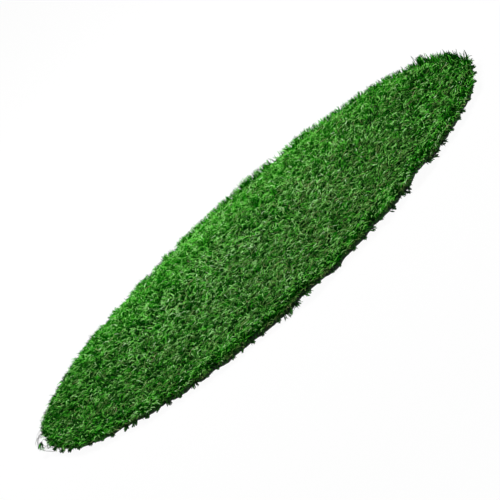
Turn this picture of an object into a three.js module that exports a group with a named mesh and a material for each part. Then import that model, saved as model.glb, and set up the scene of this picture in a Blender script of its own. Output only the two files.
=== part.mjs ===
// Golf hitting mat: an oval cut from tufted artificial turf, lying flat on the floor.
// Millimetres, +Z up. The origin is on the floor under the middle of the mat.
// The long side runs along X, and the tufts stand in rows along X, from the near side (-Y) to the far side.
// From the floor up it is a rubber coat, a fleece, a woven cloth and the pile that is tufted into the cloth.

import * as THREE from "three";

// The cut outline, an oval. An ellipse has a fullness of 1, and a half below 1 is a little more pointed
const matLength = 600;
const matWidth = 300;
const nearFullnessShare = 0.9;
const farFullnessShare = 1.05;
const outlineSteps = 96;

// The flat layers, from the floor up
const coatThickness = 2.2;
const fleeceThickness = 0.9;
const clothThickness = 0.5;
const rootedClothThickness = 0.4;

// The drain holes, melted through all the layers midway between rows
const drainRadius = 3;
const drainPitch = 100;
const drainSides = 8;

// The pile: how far apart its tufts stand, and where its four bands of rows meet
const pileHeight = 13;
const rowPitch = 18.75;
const tuftPitch = 17.6;
const bandCount = 4;
const bandGap = 0.3;
const bareRim = 2;

// One tuft: a lock of blades, narrow at its root, fuller at half height and cut level at the tip
const tuftSides = 3;
const tuftRootRadius = 2.6;
const tuftBellyRadius = 4.2;
const tuftTipRadius = 3.4;
const bellyHeightShare = 0.5;
const shorterTipShare = 0.12;
const rootScatterShare = 0.1;

// How the tips stand away from their roots
const edgeSplay = 5;
const splayReach = 45;
const napLean = 3;
const looseLean = 2.4;
const bellyLeanShare = 0.3;

// Heights of the layers' top faces
const coatTop = coatThickness;
const fleeceTop = coatTop + fleeceThickness;
const clothTop = fleeceTop + clothThickness;
const rootedClothTop = clothTop + rootedClothThickness;

const halfLength = matLength / 2;
const halfWidth = matWidth / 2;
const bandWidth = matWidth / bandCount;

// A repeatable number from 0 to 1 for each whole number, spread evenly by the golden ratio
const goldenShare = (Math.sqrt(5) - 1) / 2;
function scatter(count) {
  return (count * goldenShare) % 1;
}

// The power of the oval's curve in the half that a height across the mat is in
function curvePower(y) {
  return 2 * (y < 0 ? nearFullnessShare : farFullnessShare);
}

// A number's size raised to a power, with the number's own sign
function signedPower(value, power) {
  return Math.sign(value) * Math.abs(value) ** power;
}

// How far along an oval reaches at a share of its half width, as a share of its half length
function reachShareAt(acrossShare, power) {
  return (1 - acrossShare ** power) ** (1 / power);
}

// The cut outline's point at an angle round the oval
function outlinePoint(angle) {
  const bend = 2 / curvePower(Math.sin(angle));
  return new THREE.Vector2(
    halfLength * signedPower(Math.cos(angle), bend),
    halfWidth * signedPower(Math.sin(angle), bend),
  );
}

// The angle on the right of the oval at which its outline reaches a height across the mat
function outlineAngle(y) {
  const acrossShare = Math.max(-1, Math.min(1, y / halfWidth));
  return Math.asin(signedPower(acrossShare, curvePower(y) / 2));
}

// The whole outline, anticlockwise
function wholeOutline() {
  const points = [];
  for (let step = 0; step < outlineSteps; step += 1) {
    points.push(outlinePoint((2 * Math.PI * step) / outlineSteps));
  }
  return points;
}

// The part of the oval between two heights across it, anticlockwise from its lower right corner
function bandOutline(low, high) {
  const lowAngle = outlineAngle(low);
  const highAngle = outlineAngle(high);
  const steps = Math.max(2, Math.round((outlineSteps * (highAngle - lowAngle)) / (2 * Math.PI)));
  const right = [];
  for (let step = 0; step <= steps; step += 1) {
    right.push(outlinePoint(lowAngle + ((highAngle - lowAngle) * step) / steps));
  }
  const left = right.map((point) => new THREE.Vector2(-point.x, point.y)).reverse();
  const endsInPoint = (point) => Math.abs(point.x) < bandGap;
  if (endsInPoint(right[0])) left.pop();
  if (endsInPoint(right[right.length - 1])) left.shift();
  return right.concat(left);
}

// A regular ring of points round a centre, anticlockwise
function ring(centre, radius, sides, turn) {
  const points = [];
  for (let side = 0; side < sides; side += 1) {
    const angle = turn + (2 * Math.PI * side) / sides;
    points.push(new THREE.Vector2(centre.x + radius * Math.cos(angle), centre.y + radius * Math.sin(angle)));
  }
  return points;
}

// The lowest Y of each band of rows
function bandLow(band) {
  return -halfWidth + band * bandWidth;
}

// Drain holes stand along the middle of a band, at an even pitch from the mat's middle
function drainCentres(band) {
  const y = bandLow(band) + bandWidth / 2;
  const reach = halfLength * reachShareAt(Math.abs(y) / halfWidth, curvePower(y)) - drainPitch / 2;
  const pairs = Math.floor(reach / drainPitch + 1 / 2);
  const centres = [];
  for (let pair = 0; pair < pairs; pair += 1) {
    const x = (pair + 1 / 2) * drainPitch;
    centres.push(new THREE.Vector2(-x, y), new THREE.Vector2(x, y));
  }
  return centres;
}

// A drain hole's rim, turned by its own angle so that no three corners of a row of holes stand in line
function drainRing(centre) {
  return ring(centre, drainRadius, drainSides, centre.angle());
}

// How far a tuft's tip stands from its root: outwards at the cut edge, loosely towards the near side inside
function tipLean(root, count) {
  const power = curvePower(root.y);
  const alongShare = root.x / halfLength;
  const acrossShare = root.y / halfWidth;
  const reachShare = (Math.abs(alongShare) ** power + Math.abs(acrossShare) ** power) ** (1 / power);
  const edgeDistance = (root.length() * (1 - reachShare)) / reachShare;
  const edgeShare = Math.max(0, 1 - edgeDistance / splayReach);
  const outward = new THREE.Vector2(
    signedPower(alongShare, power - 1) / halfLength,
    signedPower(acrossShare, power - 1) / halfWidth,
  ).normalize();
  const looseAngle = 2 * Math.PI * scatter(3 * count + 1);
  const loose = new THREE.Vector2(Math.cos(looseAngle), Math.sin(looseAngle)).multiplyScalar(looseLean);
  loose.y -= napLean;
  return outward.multiplyScalar(edgeSplay * edgeShare).addScaledVector(loose, 1 - edgeShare);
}

// The tufts of one band: each has its root, its tip's lean, its height and its turn
function bandTufts(band) {
  const inset = tuftRootRadius + bareRim;
  const rows = Math.max(1, Math.round(bandWidth / rowPitch));
  const drains = drainCentres(band);
  const tufts = [];
  for (let row = 0; row < rows; row += 1) {
    const rowY = bandLow(band) + ((row + 1 / 2) * bandWidth) / rows;
    const acrossShare = Math.abs(rowY) / (halfWidth - inset);
    if (acrossShare >= 1) continue;
    const rowReach = (halfLength - inset) * reachShareAt(acrossShare, curvePower(rowY));
    const gaps = Math.max(1, Math.floor((2 * rowReach) / tuftPitch));
    for (let place = 0; place <= gaps; place += 1) {
      const count = (band * rows + row) * Math.round(matLength / tuftPitch) + place;
      const inner = place > 0 && place < gaps ? rootScatterShare : 0;
      const root = new THREE.Vector2(
        -rowReach + (2 * rowReach * place) / gaps + inner * tuftPitch * (scatter(5 * count) - 1 / 2),
        rowY + inner * rowPitch * (scatter(7 * count) - 1 / 2),
      );
      const drainClearance = drainRadius + tuftRootRadius + bandGap;
      if (drains.some((drain) => drain.distanceTo(root) < drainClearance)) continue;
      tufts.push({
        root,
        lean: tipLean(root, count),
        height: pileHeight * (1 - shorterTipShare * scatter(11 * count)),
        turn: 2 * Math.PI * scatter(2 * count),
      });
    }
  }
  return tufts;
}

// Collects points and triangles into one closed mesh
class MeshBuilder {
  constructor() {
    this.positions = [];
    this.triangles = [];
  }

  addRing(points, z) {
    const first = this.positions.length / 3;
    for (const point of points) this.positions.push(point.x, point.y, z);
    return points.map((_, index) => first + index);
  }

  // Walls between two rings of equal length, which face out when the rings run anticlockwise
  addWalls(lower, upper) {
    lower.forEach((corner, index) => {
      const next = (index + 1) % lower.length;
      this.triangles.push(corner, lower[next], upper[next]);
      this.triangles.push(corner, upper[next], upper[index]);
    });
  }

  // A flat face inside an outline and outside its holes, facing up or down
  addFlat(outline, outlineCorners, holes, holeCorners, facesUp) {
    const points = outline.concat(...holes);
    const corners = outlineCorners.concat(...holeCorners);
    for (const [a, b, c] of THREE.ShapeUtils.triangulateShape(outline, holes)) {
      const area = (points[b].x - points[a].x) * (points[c].y - points[a].y)
        - (points[b].y - points[a].y) * (points[c].x - points[a].x);
      const inOrder = area > 0 === facesUp;
      this.triangles.push(corners[a], corners[inOrder ? b : c], corners[inOrder ? c : b]);
    }
  }

  geometry() {
    const geometry = new THREE.BufferGeometry();
    geometry.setAttribute("position", new THREE.Float32BufferAttribute(this.positions, 3));
    geometry.setIndex(this.triangles);
    geometry.computeVertexNormals();
    return geometry;
  }
}

// One band of rows: a slice of the woven cloth, and the tufts that grow out of holes in its top face
function pileBand(band) {
  const outline = bandOutline(bandLow(band) + bandGap / 2, bandLow(band + 1) - bandGap / 2);
  const drains = drainCentres(band).map(drainRing);
  const tufts = bandTufts(band);
  const roots = tufts.map((tuft) => ring(tuft.root, tuftRootRadius, tuftSides, tuft.turn));

  const builder = new MeshBuilder();
  const bottom = builder.addRing(outline, clothTop);
  const top = builder.addRing(outline, rootedClothTop);
  const drainBottoms = drains.map((drain) => builder.addRing(drain, clothTop));
  const drainTops = drains.map((drain) => builder.addRing(drain, rootedClothTop));
  const rootRings = roots.map((root) => builder.addRing(root, rootedClothTop));
  builder.addFlat(outline, bottom, drains, drainBottoms, false);
  builder.addFlat(outline, top, drains.concat(roots), drainTops.concat(rootRings), true);
  builder.addWalls(bottom, top);
  drainBottoms.forEach((lower, index) => builder.addWalls(drainTops[index], lower));

  tufts.forEach((tuft, index) => {
    const bellyCentre = tuft.root.clone().addScaledVector(tuft.lean, bellyLeanShare);
    const tipCentre = tuft.root.clone().add(tuft.lean);
    const belly = ring(bellyCentre, tuftBellyRadius, tuftSides, tuft.turn);
    const tip = ring(tipCentre, tuftTipRadius, tuftSides, tuft.turn);
    const bellyRing = builder.addRing(belly, rootedClothTop + tuft.height * bellyHeightShare);
    const tipRing = builder.addRing(tip, rootedClothTop + tuft.height);
    builder.addWalls(rootRings[index], bellyRing);
    builder.addWalls(bellyRing, tipRing);
    builder.addFlat(tip, tipRing, [], [], true);
  });
  return builder.geometry();
}

// One flat layer over the whole oval, with the drain holes through it
function flatLayer(thickness, z) {
  const shape = new THREE.Shape(wholeOutline());
  for (let band = 0; band < bandCount; band += 1) {
    for (const centre of drainCentres(band)) shape.holes.push(new THREE.Path(drainRing(centre).reverse()));
  }
  const geometry = new THREE.ExtrudeGeometry(shape, { depth: thickness, bevelEnabled: false });
  geometry.translate(0, 0, z);
  return geometry;
}

function addPiece(group, name, geometry, color, roughness) {
  const material = new THREE.MeshStandardMaterial({ color, roughness, metalness: 0 });
  const mesh = new THREE.Mesh(geometry, material);
  mesh.name = name;
  group.add(mesh);
}

// The bands of rows from the near side to the far side, a little lighter towards the far side
const pileBands = [
  { name: "pile_near_rows", color: 0x33602a },
  { name: "pile_mid_near_rows", color: 0x376829 },
  { name: "pile_mid_far_rows", color: 0x396f2a },
  { name: "pile_far_rows", color: 0x417c30 },
];
const pileRoughness = 0.5;
const clothRoughness = 0.85;
const fleeceRoughness = 0.95;
const coatRoughness = 0.7;

const mat = new THREE.Group();
mat.name = "golf_hitting_mat";
addPiece(mat, "latex_coat", flatLayer(coatThickness, 0), 0x16171a, coatRoughness);
addPiece(mat, "stabilising_fleece", flatLayer(fleeceThickness, coatTop), 0x24262a, fleeceRoughness);
addPiece(mat, "primary_backing", flatLayer(clothThickness, fleeceTop), 0x101210, clothRoughness);
pileBands.forEach(({ name, color }, band) => addPiece(mat, name, pileBand(band), color, pileRoughness));

export default mat;
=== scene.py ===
"""Golf hitting mat: an oval of tufted turf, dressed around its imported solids.

Lengths are in metres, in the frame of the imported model: +X along the tuft rows, +Y away from the player and
+Z up. Every strand of the pile is a closed mesh of its own, and the strands are grouped by the band of pile
that they stand in. The backing is three layers, a woven cloth, a fleece and a latex coat, each with its own
cut rim.
"""

from __future__ import annotations

import logging
import math
from dataclasses import dataclass, field, fields
from enum import Enum
from typing import Any, Callable, Sequence

import bpy
import numpy as np
from mathutils import Matrix, Vector
from mathutils.geometry import delaunay_2d_cdt


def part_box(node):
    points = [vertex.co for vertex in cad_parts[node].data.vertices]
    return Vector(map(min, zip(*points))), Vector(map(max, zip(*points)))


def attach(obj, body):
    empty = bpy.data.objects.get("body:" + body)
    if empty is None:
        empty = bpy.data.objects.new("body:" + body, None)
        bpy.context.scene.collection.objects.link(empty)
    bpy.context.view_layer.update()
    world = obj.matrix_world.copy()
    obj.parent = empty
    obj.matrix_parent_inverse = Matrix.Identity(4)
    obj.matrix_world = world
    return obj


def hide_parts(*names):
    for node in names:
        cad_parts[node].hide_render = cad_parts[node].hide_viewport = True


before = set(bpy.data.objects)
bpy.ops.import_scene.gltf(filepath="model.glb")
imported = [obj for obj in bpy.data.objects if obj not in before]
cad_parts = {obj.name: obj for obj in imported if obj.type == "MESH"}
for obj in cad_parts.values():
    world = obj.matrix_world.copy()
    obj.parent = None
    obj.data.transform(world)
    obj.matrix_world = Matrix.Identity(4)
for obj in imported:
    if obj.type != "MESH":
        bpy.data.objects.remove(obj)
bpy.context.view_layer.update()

LOG = logging.getLogger("hitting_mat")
Array = np.ndarray
Pair = tuple[Array, Array]
MM = 0.001
SEED = 41
BODY = "root"

# The photograph's frame and the place of the mat's middle in it, in pixels
IMAGE_PIXELS = 500
MAT_MIDDLE = (259.3, 253.3)
PIXELS_PER_METRE = 941.0

# The map of the strands, the number of tones that it holds side by side, and the highest tone in the last one
STRAND_MAP = "OFBake"
TONES = 64
TONE_CAP = 0.999

# Node settings for the product of two colours, and a noise texture's usual range as the inputs of a MapRange
COLOUR_PRODUCT = {"data_type": "RGBA", "blend_type": "MULTIPLY"}
NOISE_RANGE = {1: 0.3, 2: 0.7}


class Band(Enum):
    """The four bands of the pile, each with its CAD node, from the player's side outward."""

    NEAR = "pile_near_rows"
    MID_NEAR = "pile_mid_near_rows"
    MID_FAR = "pile_mid_far_rows"
    FAR = "pile_far_rows"

    def limits(self) -> tuple[float, float]:
        """Read how far the band reaches across the mat, from the CAD nodes.

        Returns:
            The lowest and highest y of its cloth.
        """
        boxes = [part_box(band.value) for band in Band]
        seams = [(below[1][1] + above[0][1]) / 2 for below, above in zip(boxes[:-1], boxes[1:])]
        low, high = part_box("latex_coat")
        edges = [low[1], *seams, high[1]]
        place = list(Band).index(self)
        return edges[place], edges[place + 1]

    @property
    def label(self) -> str:
        """Give the part of the name that its pieces share."""
        return self.name.lower()


class Slot(Enum):
    """Material slots of the record."""

    RUBBER = "rubber_coat"
    FLEECE = "fleece"
    CLOTH = "backing_cloth"
    YARN = "blade_yarn"


def linear(colour: str) -> tuple[float, float, float, float]:
    """Turn an sRGB hex colour to a linear colour with full alpha.

    Args:
        colour: six hex digits.

    Returns:
        Red, green, blue and alpha.
    """
    parts = [int(colour[place : place + 2], 16) / 255 for place in (0, 2, 4)]
    red, green, blue = (v / 12.92 if v <= 0.04045 else ((v + 0.055) / 1.055) ** 2.4 for v in parts)
    return red, green, blue, 1.0


def feed(tree: bpy.types.NodeTree, node: Any, inputs: dict[Any, Any]) -> None:
    """Give a node's inputs their values, or the sockets that feed them.

    Args:
        tree: the node tree.
        node: the node.
        inputs: for each input, by name or number, a value or a socket.
    """
    for key, value in inputs.items():
        if isinstance(value, bpy.types.NodeSocket):
            tree.links.new(value, node.inputs[key])
        else:
            node.inputs[key].default_value = value


def add_node(
    tree: bpy.types.NodeTree, kind: str, links: dict[Any, Any] | None = None, **settings: Any
) -> Any:
    """Add one node with its settings and links.

    Args:
        tree: the node tree.
        kind: the node's type, without the ShaderNode that starts it.
        links: for each input, by name or number, a value or the socket that feeds it.
        settings: the node's own properties. stops gives a colour ramp's places and colours.

    Returns:
        The node.
    """
    node = tree.nodes.new(f"ShaderNode{kind}")
    stops = settings.pop("stops", ())
    for name, value in settings.items():
        setattr(node, name, value)
    for place, (position, colour) in enumerate(stops):
        elements = node.color_ramp.elements
        element = elements[place] if place < len(elements) else elements.new(position)
        element.position = position
        element.color = linear(colour)
    feed(tree, node, links or {})
    return node


def in_scene(name: str, data: bpy.types.ID) -> bpy.types.Object:
    """Make an object of its data and put it in the scene.

    Args:
        name: the object's name.
        data: its mesh, lamp or camera.

    Returns:
        The object.
    """
    thing = bpy.data.objects.new(name, data)
    bpy.context.collection.objects.link(thing)
    return thing


class Finish:
    """A real material with the process that shaped it, for one Principled shader."""

    name: str

    def inputs(self, tree: bpy.types.NodeTree) -> dict[str, Any]:
        """Build the nodes and give the shader's inputs, each a value or a socket."""
        raise NotImplementedError

    def material(self) -> bpy.types.Material:
        """Build the node material.

        Returns:
            The material.
        """
        material = bpy.data.materials.new(self.name)
        material.use_nodes = True
        tree = material.node_tree
        feed(tree, tree.nodes["Principled BSDF"], self.inputs(tree))
        return material


@dataclass(frozen=True)
class ExtrudedYarn(Finish):
    """Polyethylene yarn, extruded as flat ribbed tape and drawn, with a satin gloss.

    The colours run along the dye range, tone 0 to 1, and each strand darkens towards its root: painted shade
    of the pile around it, with dust and latex at the very root. The strand's own map gives the tone across
    and the height up, so the finish is the same for every strand of a tone.

    Attributes:
        name: the material's name.
        dyes: places in the tone range and their colours.
        shade: places up the strand and the painted shades that multiply the colour there, darkest at the
            root.
        roughness_low: roughness where the tape is smoothest.
        roughness_high: roughness where it is most scuffed.
        streaks: how many streaks of uneven dye and painted glints there are across a tone and up the strand.
        streak_low: the share of the colour in the thinnest streak.
        streak_high: the share of the colour in the fullest one, above 1 where it paints a glint.
        ribs: the ribs across the tape.
        rib_depth: how deep they are.
    """

    name: str
    dyes: tuple[tuple[float, str], ...]
    shade: tuple[tuple[float, str], ...]
    roughness_low: float = 0.48
    roughness_high: float = 0.7
    ior: float = 1.51
    specular: float = 0.02
    streaks: tuple[float, float, float] = (5.0, 9.0, 1.0)
    streak_low: float = 0.54
    streak_high: float = 1.56
    ribs: float = 6.0
    rib_depth: float = 0.03 * MM

    def inputs(self, tree: bpy.types.NodeTree) -> dict[str, Any]:
        """Build the nodes.

        Args:
            tree: the material's node tree.

        Returns:
            The shader's inputs, each a value or a socket.
        """
        place = add_node(tree, "UVMap", uv_map=STRAND_MAP)
        axes = add_node(tree, "SeparateXYZ", {0: place.outputs[0]})
        cells = add_node(tree, "Math", {0: axes.outputs[0], 1: float(TONES)}, operation="MULTIPLY")
        cell = add_node(tree, "Math", {0: cells.outputs[0]}, operation="FLOOR")
        across = add_node(tree, "Math", {0: cells.outputs[0]}, operation="FRACT")
        tone = add_node(tree, "Math", {0: cell.outputs[0], 1: float(TONES)}, operation="DIVIDE")
        dye = add_node(tree, "ValToRGB", {0: tone.outputs[0]}, stops=self.dyes)
        # Painted shade: the colour is multiplied by the shade ramp up the strand, darkest at the root
        height = add_node(tree, "ValToRGB", {0: axes.outputs[1]}, stops=self.shade)
        shaded = add_node(tree, "Mix", {0: 1.0, 6: dye.outputs[0], 7: height.outputs[0]}, **COLOUR_PRODUCT)
        # Streaks of uneven dye and painted glints, a few millimetres long up the strand
        spot = add_node(tree, "CombineXYZ", {0: cells.outputs[0], 1: axes.outputs[1]})
        scaled = add_node(tree, "VectorMath", {0: spot.outputs[0], 1: self.streaks}, operation="MULTIPLY")
        noise = add_node(tree, "TexNoise", {"Vector": scaled.outputs[0], "Scale": 1.0, "Detail": 3.0})
        streak_ends = {3: self.streak_low, 4: self.streak_high}
        streak = add_node(tree, "MapRange", {0: noise.outputs[0], **NOISE_RANGE, **streak_ends})
        both = {0: 1.0, 6: shaded.outputs[2], 7: streak.outputs[0]}
        streaked = add_node(tree, "Mix", both, **COLOUR_PRODUCT)
        gloss_ends = {3: self.roughness_low, 4: self.roughness_high}
        gloss = add_node(tree, "MapRange", {0: noise.outputs[0], **NOISE_RANGE, **gloss_ends})
        turns = {0: across.outputs[0], 1: self.ribs * 2 * math.pi}
        rib_turn = add_node(tree, "Math", turns, operation="MULTIPLY")
        rib = add_node(tree, "Math", {0: rib_turn.outputs[0]}, operation="SINE")
        bump = add_node(tree, "Bump", {"Strength": 0.4, "Distance": self.rib_depth, "Height": rib.outputs[0]})
        return {
            "Base Color": streaked.outputs[2],
            "Roughness": gloss.outputs[0],
            "Normal": bump.outputs[0],
            "IOR": self.ior,
            "Specular IOR Level": self.specular,
        }


@dataclass(frozen=True)
class WovenTape(Finish):
    """Polypropylene cloth, plain woven from flat slit tapes: a fine black check with a dull shine."""

    name: str = "polypropylene_tape_cloth_woven"
    tape_width: float = 1.3 * MM
    dust_patch: float = 4 * MM
    warp: str = "1a1e1a"
    weft: str = "282d27"
    roughness: float = 0.55
    ior: float = 1.49

    def inputs(self, tree: bpy.types.NodeTree) -> dict[str, Any]:
        """Build the nodes.

        Args:
            tree: the material's node tree.

        Returns:
            The shader's inputs, each a value or a socket.
        """
        place = add_node(tree, "TexCoord").outputs["Object"]
        scaled = add_node(tree, "VectorMath", {0: place, 1: (1 / self.tape_width,) * 3}, operation="MULTIPLY")
        tapes = {"Color1": linear(self.warp), "Color2": linear(self.weft)}
        check = add_node(tree, "TexChecker", {"Vector": scaled.outputs[0], "Scale": 1.0, **tapes})
        dust = add_node(tree, "TexNoise", {"Vector": place, "Scale": 1 / self.dust_patch, "Detail": 6.0})
        dusted = add_node(tree, "MapRange", {0: dust.outputs[0], 1: 0.35, 2: 0.7, 3: 0.7, 4: 1.35})
        colour = add_node(tree, "Mix", {0: 1.0, 6: check.outputs[0], 7: dusted.outputs[0]}, **COLOUR_PRODUCT)
        fibre = add_node(tree, "TexNoise", {"Vector": scaled.outputs[0], "Scale": 7.0, "Detail": 2.0})
        height = add_node(tree, "Math", {0: check.outputs[1], 1: fibre.outputs[0]}, operation="ADD")
        bump = add_node(tree, "Bump", {"Strength": 0.8, "Distance": 0.15 * MM, "Height": height.outputs[0]})
        return {
            "Base Color": colour.outputs[2],
            "Roughness": self.roughness,
            "Normal": bump.outputs[0],
            "IOR": self.ior,
        }


@dataclass(frozen=True)
class PunchedFleece(Finish):
    """Polyester fleece, needle punched: matt charcoal felt with lighter stray fibres."""

    name: str = "polyester_fleece_needle_punched"
    dark: str = "262a27"
    light: str = "484e4a"
    fibre: float = 0.35 * MM
    roughness: float = 0.93

    def inputs(self, tree: bpy.types.NodeTree) -> dict[str, Any]:
        """Build the nodes.

        Args:
            tree: the material's node tree.

        Returns:
            The shader's inputs, each a value or a socket.
        """
        place = add_node(tree, "TexCoord").outputs["Object"]
        fibres = add_node(
            tree, "TexNoise", {"Vector": place, "Scale": 1 / self.fibre, "Detail": 5.0, "Distortion": 1.5}
        )
        greys = ((0.35, self.dark), (0.68, self.light))
        ramp = add_node(tree, "ValToRGB", {0: fibres.outputs[0]}, stops=greys)
        bump = add_node(tree, "Bump", {"Strength": 0.9, "Distance": 0.2 * MM, "Height": fibres.outputs[0]})
        return {"Base Color": ramp.outputs[0], "Roughness": self.roughness, "Normal": bump.outputs[0]}


@dataclass(frozen=True)
class ScrapedLatex(Finish):
    """Filled latex, scraped on with a blade and oven cured: black, dull, faintly streaked along the mat."""

    name: str = "filled_latex_scraped_and_cured"
    dark: str = "1b211b"
    light: str = "363f36"
    grain: float = 1.2 * MM
    streak: float = 14 * MM
    roughness_low: float = 0.58
    roughness_high: float = 0.82
    ior: float = 1.52

    def inputs(self, tree: bpy.types.NodeTree) -> dict[str, Any]:
        """Build the nodes.

        Args:
            tree: the material's node tree.

        Returns:
            The shader's inputs, each a value or a socket.
        """
        place = add_node(tree, "TexCoord").outputs["Object"]
        drawn = add_node(tree, "Mapping", {"Vector": place, "Scale": (self.grain / self.streak, 1.0, 1.0)})
        grain = {"Vector": drawn.outputs[0], "Scale": 1 / self.grain, "Detail": 4.0}
        streaks = add_node(tree, "TexNoise", grain)
        pits = add_node(tree, "TexVoronoi", {"Vector": place, "Scale": 1 / self.grain, "Randomness": 1.0})
        greys = ((0.3, self.dark), (0.72, self.light))
        ramp = add_node(tree, "ValToRGB", {0: streaks.outputs[0]}, stops=greys)
        rough_ends = {3: self.roughness_high, 4: self.roughness_low}
        rough = add_node(tree, "MapRange", {0: streaks.outputs[0], **NOISE_RANGE, **rough_ends})
        height = add_node(tree, "Math", {0: streaks.outputs[0], 1: pits.outputs[0]}, operation="ADD")
        bump = add_node(tree, "Bump", {"Strength": 0.6, "Distance": 0.15 * MM, "Height": height.outputs[0]})
        return {
            "Base Color": ramp.outputs[0],
            "Roughness": rough.outputs[0],
            "Normal": bump.outputs[0],
            "IOR": self.ior,
        }


@dataclass(frozen=True)
class StudioPaper(Finish):
    """Matt white paper under the mat, which shows white to the camera and keeps part of the mat's shadow."""

    name: str = "studio_paper_matt"
    white: str = "f4f4f4"
    shadow_share: float = 0.05
    roughness: float = 0.9
    pulp: float = 3 * MM

    def inputs(self, tree: bpy.types.NodeTree) -> dict[str, Any]:
        """Build the nodes.

        Args:
            tree: the material's node tree.

        Returns:
            The shader's inputs, each a value or a socket.
        """
        place = add_node(tree, "TexCoord").outputs["Object"]
        pulp = add_node(tree, "TexNoise", {"Vector": place, "Scale": 1 / self.pulp, "Detail": 3.0})
        bump = add_node(tree, "Bump", {"Strength": 0.05, "Distance": 0.1 * MM, "Height": pulp.outputs[0]})
        return {
            "Base Color": linear(self.white),
            "Roughness": self.roughness,
            "Normal": bump.outputs[0],
            "Specular IOR Level": 0.0,
        }

    def material(self) -> bpy.types.Material:
        """Build the node material, and show the camera its white with only part of the shadow.

        Returns:
            The material.
        """
        material = super().material()
        tree = material.node_tree
        paper = tree.nodes["Principled BSDF"].outputs[0]
        seen = add_node(tree, "LightPath").outputs["Is Camera Ray"]
        share = add_node(tree, "Math", {0: seen, 1: 1.0 - self.shadow_share}, operation="MULTIPLY")
        white = add_node(tree, "Emission", {"Color": (1, 1, 1, 1), "Strength": 1.0})
        mix = add_node(tree, "MixShader", {0: share.outputs[0], 1: paper, 2: white.outputs[0]})
        feed(tree, tree.nodes["Material Output"], {"Surface": mix.outputs[0]})
        return material


# Each yarn's shade stops are painted shade, darkest at the root of the strand; the blades' are tinted green
# like light bounced about in the pile
BLADE_YARN = ExtrudedYarn(
    "polyethylene_blade_yarn_extruded",
    dyes=(
        (0.0, "002a00"),
        (0.38, "044e00"),
        (0.5, "1a8a08"),
        (0.62, "5cc63a"),
        (0.76, "90de6c"),
        (0.9, "b8f09a"),
        (1.0, "d8f8c8"),
    ),
    shade=((0.0, "0c2a08"), (0.15, "28621c"), (0.35, "74b45c"), (0.65, "e0f4d8"), (1.0, "ffffff")),
)
THATCH_YARN = ExtrudedYarn(
    "polyethylene_thatch_yarn_texturised",
    dyes=((0.0, "1f5a12"), (0.35, "438430"), (0.65, "76a850"), (0.88, "9cb870"), (1.0, "b4b484")),
    shade=((0.0, "303030"), (0.35, "808080"), (0.6, "e0e0e0"), (1.0, "ffffff")),
    roughness_low=0.5,
    roughness_high=0.7,
)
STUB_YARN = ExtrudedYarn(
    "polyethylene_stub_yarn_latex_soaked",
    dyes=((0.0, "2c3a2e"), (0.4, "305a2c"), (0.75, "449036"), (1.0, "68c050")),
    shade=((0.0, "505050"), (0.5, "b0b0b0"), (1.0, "ffffff")),
    roughness_low=0.5,
    roughness_high=0.75,
)
TAPE_ENDS = ExtrudedYarn(
    "polypropylene_tape_ends_frayed",
    dyes=((0.0, "1c221c"), (0.6, "323a30"), (1.0, "565f54")),
    shade=((0.0, "a0a0a0"), (1.0, "ffffff")),
    roughness_low=0.45,
    roughness_high=0.65,
)
FLEECE_FIBRES = ExtrudedYarn(
    "polyester_fibres_pulled_loose",
    dyes=((0.0, "181a19"), (0.6, "2c302e"), (1.0, "5a605c")),
    shade=((0.0, "c0c0c0"), (1.0, "ffffff")),
    roughness_low=0.7,
    roughness_high=0.9,
)


class PatchNoise:
    """Smooth noise over the mat's plan, drawn once on a square lattice."""

    LATTICE = 256

    def __init__(self, rng: np.random.Generator, patch: float) -> None:
        """Draw the lattice.

        Args:
            rng: the source of the draws.
            patch: the lattice's pitch.
        """
        self.patch = patch
        self.values = rng.standard_normal((self.LATTICE, self.LATTICE))

    def __call__(self, x: Array, y: Array) -> Array:
        """Give the noise at points, with a spread of about a half either way.

        Args:
            x: the points' x.
            y: the points' y.

        Returns:
            One value a point.
        """
        fx, fy = x / self.patch + self.LATTICE / 2, y / self.patch + self.LATTICE / 2
        ix, iy = np.floor(fx).astype(int), np.floor(fy).astype(int)
        tx, ty = fx - ix, fy - iy
        sx, sy = tx * tx * (3 - 2 * tx), ty * ty * (3 - 2 * ty)
        n = self.LATTICE
        low = self.values[ix % n, iy % n] * (1 - sx) + self.values[(ix + 1) % n, iy % n] * sx
        high = self.values[ix % n, (iy + 1) % n] * (1 - sx) + self.values[(ix + 1) % n, (iy + 1) % n] * sx
        return low * (1 - sy) + high * sy


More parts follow.
